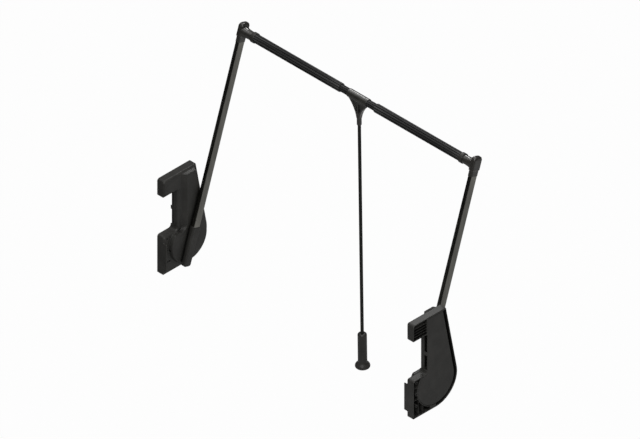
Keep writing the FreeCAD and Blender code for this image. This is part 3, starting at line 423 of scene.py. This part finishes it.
SLOT_OF = {part["node"]: part["material_slot"] for part in frame["record"]["subparts"]}
BODY_OF = {node: body for body, nodes in frame["record"]["behaviour"]["bodies"].items()
           for node in nodes}
FINISHES = {}


def finish_of(node):
    """The material of a node's slot, made once."""
    if not FINISHES:
        scene = bpy.context.scene
        FINISHES.update(make_finishes(scene.closet_rod_colours, scene.closet_rod_sizes.flutes))
    return FINISHES[SLOT_OF[node]]


# ---------------------------------------------------------------- mesh helpers


def mesh_from(name, points, faces):
    """A mesh with its faces turned outwards."""
    mesh = bpy.data.meshes.new(name)
    mesh.from_pydata(points, [], faces)
    work = bmesh.new()
    work.from_mesh(mesh)
    bmesh.ops.recalc_face_normals(work, faces=work.faces)
    work.to_mesh(mesh)
    work.free()
    mesh.validate()
    return mesh


def ring_mesh(name, rings, closed=False):
    """A skin over rings of points; closed joins the last ring to the first, else it is capped."""
    count = len(rings[0])
    points = [point for ring in rings for point in ring]
    faces = []
    for row in range(len(rings) if closed else len(rings) - 1):
        here, there = row * count, (row + 1) % len(rings) * count
        for column in range(count):
            beside = (column + 1) % count
            faces.append((here + column, here + beside, there + beside, there + column))
    if not closed:
        faces.append(tuple(range(count)))
        faces.append(tuple(range(len(points) - count, len(points))))
    return mesh_from(name, points, faces)


def circle(radius, along, place, count, wave=None):
    """A ring of points about the local Z axis, carried to its place."""
    ring = []
    for step in range(count):
        angle = math.tau * step / count
        reach = radius - (wave(angle) if wave else 0.0)
        ring.append(place @ Vector((reach * math.cos(angle), reach * math.sin(angle), along)))
    return ring


def round_corner(start, finish, bulge, steps=5):
    """Points of a quarter round from start to finish of a profile; bulge is its corner."""
    points = []
    for step in range(steps + 1):
        angle = math.pi / 2 * step / steps
        blend_in, blend_out = math.sin(angle), math.cos(angle)
        points.append(tuple(
            corner + (first - corner) * (1 - blend_in) + (last - corner) * (1 - blend_out)
            for first, last, corner in zip(start, finish, bulge)))
    return points


def smooth_by_angle(mesh, degrees):
    """Smooth shading, with edges sharper than the angle kept crisp."""
    mesh.shade_smooth()
    mesh.set_sharp_from_angle(angle=math.radians(degrees))


def add_piece(name, mesh, *nodes, crisp=CRISP):
    """Put a finished piece in the scene in the place of its nodes."""
    piece = bpy.data.objects.new(name, mesh)
    bpy.context.collection.objects.link(piece)
    smooth_by_angle(mesh, crisp)
    mesh.materials.clear()
    mesh.materials.append(finish_of(nodes[0]))
    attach(piece, BODY_OF[nodes[0]])
    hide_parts(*nodes)


def soft_copy(node, name, grid, softness, keep, extra=(), holes=None):
    """The node's own form with soft corners, extra forms grown into it and crisp holes.

    grid is the fineness of the new skin, softness how many times it is smoothed and keep
    the share of its faces that stay.
    """
    work = bmesh.new()
    work.from_mesh(frame["nodes"][node].data)
    bmesh.ops.remove_doubles(work, verts=work.verts, dist=WELD)
    for mesh in extra:
        work.from_mesh(mesh)
    mesh = bpy.data.meshes.new(name)
    work.to_mesh(mesh)
    work.free()
    draft = bpy.data.objects.new(name + "_draft", mesh)
    bpy.context.collection.objects.link(draft)
    skin = draft.modifiers.new("skin", "REMESH")
    skin.mode = "VOXEL"
    skin.voxel_size = grid
    soft = draft.modifiers.new("soft", "SMOOTH")
    soft.factor = 0.5
    soft.iterations = softness
    fewer = draft.modifiers.new("fewer", "DECIMATE")
    fewer.ratio = keep
    if holes:
        drill = bpy.data.objects.new(name + "_drill", holes)
        bpy.context.collection.objects.link(drill)
        cut = draft.modifiers.new("cut", "BOOLEAN")
        cut.operation = "DIFFERENCE"
        cut.solver = "EXACT"
        cut.object = drill
    bpy.context.view_layer.update()
    shaped = draft.evaluated_get(bpy.context.evaluated_depsgraph_get())
    mesh = bpy.data.meshes.new_from_object(shaped)
    bpy.data.objects.remove(draft)
    if holes:
        bpy.data.objects.remove(drill)
    add_piece(name, mesh, node, crisp=ALL_SOFT)


# ---------------------------------------------------------------- places


def arm_place():
    """From the arm's own upright frame, at the pivot, to where the arm leans."""
    return Matrix.Rotation(-LEAN, 4, "X")


def rod_place():
    """From a frame whose Z runs along the rod to the rod."""
    return Matrix.Translation((0, ROD.y, ROD.z)) @ Matrix.Rotation(math.radians(90), 4, "Y")


def hanging_place():
    """From a frame whose Z points down the handle to the hanging handle."""
    down = HANG.normalized()
    return Matrix.Translation(ROD) @ down.to_track_quat("Z", "Y").to_matrix().to_4x4()


def mirrored(mesh):
    """The same mesh for the right-hand side."""
    twin = mesh.copy()
    twin.transform(Matrix.Translation((SPAN, 0, 0)) @ Matrix.Diagonal((-1, 1, 1, 1)))
    twin.flip_normals()
    return twin


def for_sides(mesh, part, crisp=CRISP):
    """Place a left-hand mesh and its mirror image."""
    for side, form in zip(SIDES, (mesh, mirrored(mesh))):
        add_piece("%s_%s_form" % (side, part), form, "%s_%s" % (side, part), crisp=crisp)


# ---------------------------------------------------------------- operators


class OBJECT_OT_rod_housings(bpy.types.Operator):
    """Dress both wall housings in rounded, grained black plastic"""

    bl_idname = "object.rod_housings"
    bl_label = "Wall Housings"

    # the screw holes in millimetres: place across and up, radius and depth
    screws = ((-71.5, 33.0, 3.0, 16.0), (-64.0, -6.0, 3.0, 9.0), (-64.0, -41.0, 3.0, 9.0),
              (-28.0, -58.5, 3.0, 9.0))
    front = 26 * MM
    drill_clearance = 4 * MM
    drill_bevel = MM
    drill_tip = 0.8
    drill_points = 24

    def drills(self):
        """The screw holes of the left housing as one form."""
        work = bmesh.new()
        for across, up, radius, depth in self.screws:
            foot = self.front - depth * MM
            ends = ((foot, self.drill_tip), (foot + self.drill_bevel, 1.0),
                    (self.front + self.drill_clearance, 1.0))
            place = Matrix.Translation((0, across * MM, up * MM)) @ Matrix.Rotation(
                math.radians(90), 4, "Y")
            rings = [circle(radius * share * MM, along, place, self.drill_points)
                     for along, share in ends]
            work.from_mesh(ring_mesh("drill", rings))
        mesh = bpy.data.meshes.new("drills")
        work.to_mesh(mesh)
        work.free()
        return mesh

    def execute(self, context):
        sizes = context.scene.closet_rod_sizes
        drills = self.drills()
        for side, holes in zip(SIDES, (drills, mirrored(drills))):
            soft_copy(side + "_housing", side + "_housing_form", sizes.mould_grid,
                      sizes.mould_softness, keep=0.14, holes=holes)
            soft_copy(side + "_back_plate", side + "_back_plate_form",
                      sizes.mould_grid * SMALL_PIECE, softness=2, keep=0.1)
        return {"FINISHED"}


class OBJECT_OT_rod_gear(bpy.types.Operator):
    """Give the crank gear and the gas strut inside each housing their metal finishes"""

    bl_idname = "object.rod_gear"
    bl_label = "Crank Gear"

    def execute(self, context):
        parts = ("spindle", "spindle_bush", "crank", "crank_pin", "yoke", "piston_rod",
                 "gas_cylinder")
        for side in SIDES:
            for part in parts:
                node = "%s_%s" % (side, part)
                piece = frame["nodes"][node]
                if not piece.material_slots:
                    piece.data.materials.append(None)
                for holder in piece.material_slots:
                    holder.material = finish_of(node)
        return {"FINISHED"}


class OBJECT_OT_rod_levers(bpy.types.Operator):
    """Build the moulded levers with rounded edges"""

    bl_idname = "object.rod_levers"
    bl_label = "Levers"

    def execute(self, context):
        sizes = context.scene.closet_rod_sizes
        for side in SIDES:
            soft_copy(side + "_lever", side + "_lever_form", sizes.mould_grid * SMALL_PIECE,
                      sizes.mould_softness * 2, keep=0.3)
        return {"FINISHED"}


class OBJECT_OT_rod_arms(bpy.types.Operator):
    """Build the flat arm tubes with their rounded corners"""

    bl_idname = "object.rod_arms"
    bl_label = "Arms"

    width = 23.0 * MM
    thickness = 12.6 * MM
    corner = 2.2 * MM
    corner_steps = 8
    foot = 15 * MM
    head = REACH - 6 * MM
    lengths = 12

    def section(self, along, place):
        """One rounded rectangle across the arm."""
        ring = []
        for turn, (side_x, side_y) in enumerate(((1, 1), (-1, 1), (-1, -1), (1, -1))):
            for step in range(self.corner_steps + 1):
                angle = math.pi / 2 * (turn + step / self.corner_steps)
                ring.append(place @ Vector((
                    ARM_PLANE + side_x * (self.thickness / 2 - self.corner)
                    + self.corner * math.cos(angle),
                    side_y * (self.width / 2 - self.corner) + self.corner * math.sin(angle),
                    along)))
        return ring

    def execute(self, context):
        place = arm_place()
        rings = [self.section(self.foot + (self.head - self.foot) * step / self.lengths, place)
                 for step in range(self.lengths + 1)]
        for_sides(ring_mesh("arm_form", rings), "arm")
        return {"FINISHED"}


class OBJECT_OT_rod_elbows(bpy.types.Operator):
    """Build the cast elbows, with a flared spigot, and their domed caps"""

    bl_idname = "object.rod_elbows"
    bl_label = "Elbows"

    # the spigot in millimetres from the wall, with its radius
    flare = ((38.0, 8.0), (42.0, 13.2), (48.0, 14.5), (53.5, 14.6), (58.0, 13.9), (64.0, 12.8),
             (72.0, 12.3), (82.7, 12.2))
    flare_steps = 48
    cap_foot = REACH + 18 * MM
    cap_rise = 7 * MM
    cap_half = (8.0 * MM, 14.9 * MM)
    cap_squareness = 0.55
    cap_fullness = 0.6
    cap_arc = 0.94 * math.pi / 2
    cap_steps = 12
    cap_turns = 64

    def cap(self):
        """A domed cap over a rounded rectangle."""
        place = arm_place()
        rings = []
        for step in range(self.cap_steps + 1):
            angle = self.cap_arc * step / self.cap_steps
            share = math.cos(angle) ** self.cap_fullness
            along = self.cap_foot + self.cap_rise * math.sin(angle)
            ring = []
            for turn in range(self.cap_turns):
                spin = math.tau * turn / self.cap_turns
                across, deep = (
                    half * share * math.copysign(abs(part) ** self.cap_squareness, part)
                    for half, part in zip(self.cap_half, (math.cos(spin), math.sin(spin))))
                ring.append(place @ Vector((ARM_PLANE + across, deep, along)))
            rings.append(ring)
        return ring_mesh("elbow_cap_form", rings)

    def execute(self, context):
        rings = [circle(radius * MM, along * MM, rod_place(), self.flare_steps)
                 for along, radius in self.flare]
        flare = ring_mesh("flare", rings)
        sizes = context.scene.closet_rod_sizes
        for side, growth in zip(SIDES, (flare, mirrored(flare))):
            soft_copy(side + "_elbow", side + "_elbow_form", sizes.cast_grid,
                      sizes.cast_softness, keep=0.4, extra=(growth,))
        for_sides(self.cap(), "elbow_cap", crisp=ALL_SOFT)
        return {"FINISHED"}


class OBJECT_OT_rod_tubes(bpy.types.Operator):
    """Build the fluted outer tubes, the inner tube and the collars"""

    bl_idname = "object.rod_tubes"
    bl_label = "Rod Tubes"

    points_a_flute = 10
    lip = 0.4 * MM
    lengths = 8
    outer_bore = 10.25 * MM
    inner_bore = 9 * MM
    inner_depth_share = 0.6
    groove_sharpness = 2.5
    collar_inside = 12.62 * MM
    collar_edge = 1.4 * MM
    collar_points = 64

    def tube(self, node, flutes, depth, bore):
        """A fluted tube along X between the ends of its node."""
        low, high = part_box(node)
        radius = (high[2] - low[2]) / 2

        def wave(angle):
            return depth * max(0.0, math.cos(angle * flutes)) ** self.groove_sharpness

        place = rod_place()
        count = flutes * self.points_a_flute
        start, end = low[0], high[0]
        stations = [(start, radius - self.lip), (start + self.lip, radius)]
        stations += [(start + (end - start) * step / self.lengths, radius)
                     for step in range(1, self.lengths)]
        stations += [(end - self.lip, radius), (end, radius - self.lip)]
        rings = [circle(reach, along, place, count, wave) for along, reach in stations]
        rings += [circle(bore, along, place, count) for along in (end, start)]
        return ring_mesh(node + "_form", rings, closed=True)

    def collar(self):
        """A collar with rounded ends between the ends of its node."""
        low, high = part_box("left_collar")
        outside = (high[2] - low[2]) / 2
        inside, edge = self.collar_inside, self.collar_edge
        profile = [(low[0], inside), (low[0], outside - edge)]
        profile += round_corner((low[0], outside - edge), (low[0] + edge, outside),
                                (low[0], outside))
        profile += round_corner((high[0] - edge, outside), (high[0], outside - edge),
                                (high[0], outside))
        profile += [(high[0], inside)]
        rings = [circle(reach, along, rod_place(), self.collar_points)
                 for along, reach in profile]
        return ring_mesh("collar_form", rings, closed=True)

    def execute(self, context):
        sizes = context.scene.closet_rod_sizes
        outer = self.tube("left_outer_tube", sizes.flutes, sizes.flute_depth, self.outer_bore)
        for_sides(outer, "outer_tube")
        inner = self.tube("inner_tube", sizes.flutes, sizes.flute_depth * self.inner_depth_share,
                          self.inner_bore)
        add_piece("inner_tube_form", inner, "inner_tube")
        for_sides(self.collar(), "collar")
        return {"FINISHED"}


class OBJECT_OT_rod_handle(bpy.types.Operator):
    """Build the cast bracket, the pull rod and the fluted grip"""

    bl_idname = "object.rod_handle"
    bl_label = "Pull Handle"

    # the grip's profile in millimetres below the rod axis, with its radius
    barrel = ((754.8, 4.6), (754.6, 8.3), (755.2, 9.2), (757.6, 11.6), (759.0, 12.2),
              (762.0, 12.3), (800.0, 12.35), (841.0, 12.4))
    flange = ((845.0, 12.6), (848.2, 14.2), (850.6, 16.4), (852.8, 18.4), (855.0, 19.6),
              (858.0, 20.3), (860.4, 19.9), (861.6, 18.9), (862.0, 17.6), (861.6, 10.0))
    grip_flutes = 12
    grip_groove = 0.55 * MM
    grooved = (760, 844)
    grip_points = 120

    # the ends of the pull rod in millimetres below the rod axis
    rod_ends = (66, 824)
    rod_radius = 4.5 * MM
    rod_lengths = 16
    rod_points = 40

    def rod(self):
        """The plain round pull rod."""
        place = hanging_place()
        top, foot = self.rod_ends
        stations = [top + (foot - top) * step / self.rod_lengths
                    for step in range(self.rod_lengths + 1)]
        rings = [circle(self.rod_radius, along * MM, place, self.rod_points)
                 for along in stations]
        return ring_mesh("pull_rod_form", rings)

    def grip(self):
        """The grip: round shoulder, grooved barrel and flared flange."""
        place = hanging_place()

        def wave(angle):
            return self.grip_groove * max(0.0, math.cos(angle * self.grip_flutes)) ** 2

        rings = []
        for along, radius in self.barrel + self.flange:
            between = self.grooved[0] < along < self.grooved[1]
            rings.append(circle(radius * MM, along * MM, place, self.grip_points,
                                wave if between else None))
        return ring_mesh("grip_form", rings)

    def execute(self, context):
        sizes = context.scene.closet_rod_sizes
        soft_copy("handle_bracket", "handle_bracket_form", sizes.cast_grid,
                  sizes.cast_softness - 2, keep=0.4)
        add_piece("pull_rod_form", self.rod(), "pull_rod")
        add_piece("grip_form", self.grip(), "grip", crisp=60)
        return {"FINISHED"}


# ---------------------------------------------------------------- stage


class OBJECT_OT_rod_stage(bpy.types.Operator):
    """Set up the pale floor, the soft lights and the camera"""

    bl_idname = "object.rod_stage"
    bl_label = "Stage"

    white = (1, 1, 1, 1)
    floor_level = -0.50
    floor_size = 7.0
    floor_colour = (0.16, 0.16, 0.158)
    floor_seen = 0.98
    floor_mirrored = 0.035

    # the studio sky: heights between which it brightens, and its glow at them
    sky_heights = (0.50, 0.95)
    sky_glow = (0.015, 1.3)

    aim = (0.4714, 0.0442, 0.2604)
    distance = 6.0
    view_width = 1.664

    # each soft lamp: name, place, what it points at, width, height and glow
    lamps = (
        ("key_lamp", (-0.304, 1.184, 1.435), (0.696, 0.184, 0.435), 0.5, 0.30, 11.0),
        ("strip_lamp", (-0.20, 0.475, 1.51), (0.49, 0.187, 0.576), 0.9, 0.08, 5.0),
        ("front_lamp", (2.49, -1.98, 2.28), aim, 3.0, 3.0, 3.0),
        ("floor_lamp", (1.4, 0.7, -0.45), (1.4, 0.7, 0.55), 2.6, 2.6, 0.24),
    )

    def floor(self):
        """A pale floor that keeps a soft shadow."""
        mesh = bpy.data.meshes.new("floor")
        half = self.floor_size / 2
        corners = [(self.aim[0] + x * half, self.aim[1] + y * half, self.floor_level)
                   for x, y in ((-1, -1), (1, -1), (1, 1), (-1, 1))]
        mesh.from_pydata(corners, [], [(0, 1, 2, 3)])
        floor = bpy.data.objects.new("floor", mesh)
        bpy.context.collection.objects.link(floor)
        finish = Finish("pale_floor", self.floor_colour, 0.9)
        path = finish.node("ShaderNodeLightPath")
        seen = Field(finish, path.outputs["Is Camera Ray"])
        mirrored_ray = Field(finish, path.outputs["Is Glossy Ray"])
        share = (seen * self.floor_seen + mirrored_ray * self.floor_mirrored).clamped()
        glow = finish.node("ShaderNodeEmission", None, {"Color": self.white, "Strength": 1.0})
        mix = finish.node("ShaderNodeMixShader", None, {
            0: share, 1: finish.shader.outputs["BSDF"], 2: glow.outputs["Emission"]})
        output = finish.tree.nodes["Material Output"]
        finish.feed(output.inputs["Surface"], mix.outputs["Shader"])
        mesh.materials.append(finish.material)

    def sky(self):
        """A white background, and for the object a studio sky that is dim near the horizon."""
        world = bpy.data.worlds.new("studio")
        world.use_nodes = True
        bpy.context.scene.world = world
        nodes = Nodes(world.node_tree)
        studio = nodes.tree.nodes["Background"]
        output = nodes.tree.nodes["World Output"]
        place = nodes.node("ShaderNodeTexCoord").outputs["Generated"]
        height = nodes.node("ShaderNodeSeparateXYZ", None, {0: place}).outputs["Z"]
        rise = nodes.node("ShaderNodeMapRange", {"interpolation_type": "SMOOTHSTEP"}, {
            "Value": height, "From Min": self.sky_heights[0], "From Max": self.sky_heights[1],
            "To Min": self.sky_glow[0], "To Max": self.sky_glow[1]})
        nodes.feed(studio.inputs["Color"], self.white)
        nodes.feed(studio.inputs["Strength"], rise.outputs["Result"])
        plain = nodes.node("ShaderNodeBackground", None, {"Color": self.white})
        path = nodes.node("ShaderNodeLightPath")
        mix = nodes.node("ShaderNodeMixShader", None, {
            0: path.outputs["Is Camera Ray"], 1: studio.outputs[0], 2: plain.outputs[0]})
        nodes.feed(output.inputs["Surface"], mix.outputs[0])

    def lamp(self, name, place, towards, width, height, glow):
        """A soft oblong lamp; glow is how bright its face is."""
        data = bpy.data.lights.new(name, "AREA")
        data.shape = "RECTANGLE"
        data.size = width
        data.size_y = height
        data.energy = glow * math.pi * width * height
        lamp = bpy.data.objects.new(name, data)
        bpy.context.collection.objects.link(lamp)
        lamp.location = place
        aim = Vector(place) - Vector(towards)
        lamp.rotation_euler = aim.to_track_quat("Z", "Y").to_euler()
        lamp.visible_camera = False

    def camera(self):
        """An orthographic camera at the corner view."""
        data = bpy.data.cameras.new("camera")
        data.type = "ORTHO"
        data.ortho_scale = self.view_width
        data.clip_end = 50
        camera = bpy.data.objects.new("camera", data)
        bpy.context.collection.objects.link(camera)
        height = math.asin(1 / math.sqrt(3))
        back = Vector((math.cos(height) / math.sqrt(2), -math.cos(height) / math.sqrt(2),
                       math.sin(height)))
        camera.location = Vector(self.aim) + back * self.distance
        camera.rotation_euler = back.to_track_quat("Z", "Y").to_euler()
        bpy.context.scene.camera = camera

    def execute(self, context):
        context.scene.view_settings.view_transform = "Standard"
        self.floor()
        self.sky()
        for lamp in self.lamps:
            self.lamp(*lamp)
        self.camera()
        return {"FINISHED"}


# ---------------------------------------------------------------- add-on


class VIEW3D_PT_closet_rod(bpy.types.Panel):
    """The sidebar panel with the rod's sizes, colours and pieces"""

    bl_label = "Closet Rod"
    bl_idname = "VIEW3D_PT_closet_rod"
    bl_space_type = "VIEW_3D"
    bl_region_type = "UI"
    bl_category = "Closet Rod"

    def draw(self, context):
        for settings in (context.scene.closet_rod_sizes, context.scene.closet_rod_colours):
            for name in settings.__annotations__:
                self.layout.prop(settings, name)
        for step in STEPS:
            self.layout.operator(step.bl_idname)


SETTINGS = (ClosetRodSizes, ClosetRodColours)
STEPS = (
    OBJECT_OT_rod_housings,
    OBJECT_OT_rod_gear,
    OBJECT_OT_rod_levers,
    OBJECT_OT_rod_arms,
    OBJECT_OT_rod_elbows,
    OBJECT_OT_rod_tubes,
    OBJECT_OT_rod_handle,
    OBJECT_OT_rod_stage,
)


def register():
    """Register the classes and hang the settings on the scene."""
    for kind in SETTINGS + STEPS + (VIEW3D_PT_closet_rod,):
        bpy.utils.register_class(kind)
    bpy.types.Scene.closet_rod_sizes = PointerProperty(type=ClosetRodSizes)
    bpy.types.Scene.closet_rod_colours = PointerProperty(type=ClosetRodColours)


def unregister():
    """Take everything away again."""
    del bpy.types.Scene.closet_rod_sizes
    del bpy.types.Scene.closet_rod_colours
    for kind in reversed(SETTINGS + STEPS + (VIEW3D_PT_closet_rod,)):
        bpy.utils.unregister_class(kind)


def main():
    register()
    for step in STEPS:
        group, name = step.bl_idname.split(".")
        result = getattr(getattr(bpy.ops, group), name)()
        if result != {"FINISHED"}:
            raise RuntimeError("%s did not finish" % step.bl_label)


if __name__ == "__main__":
    main()
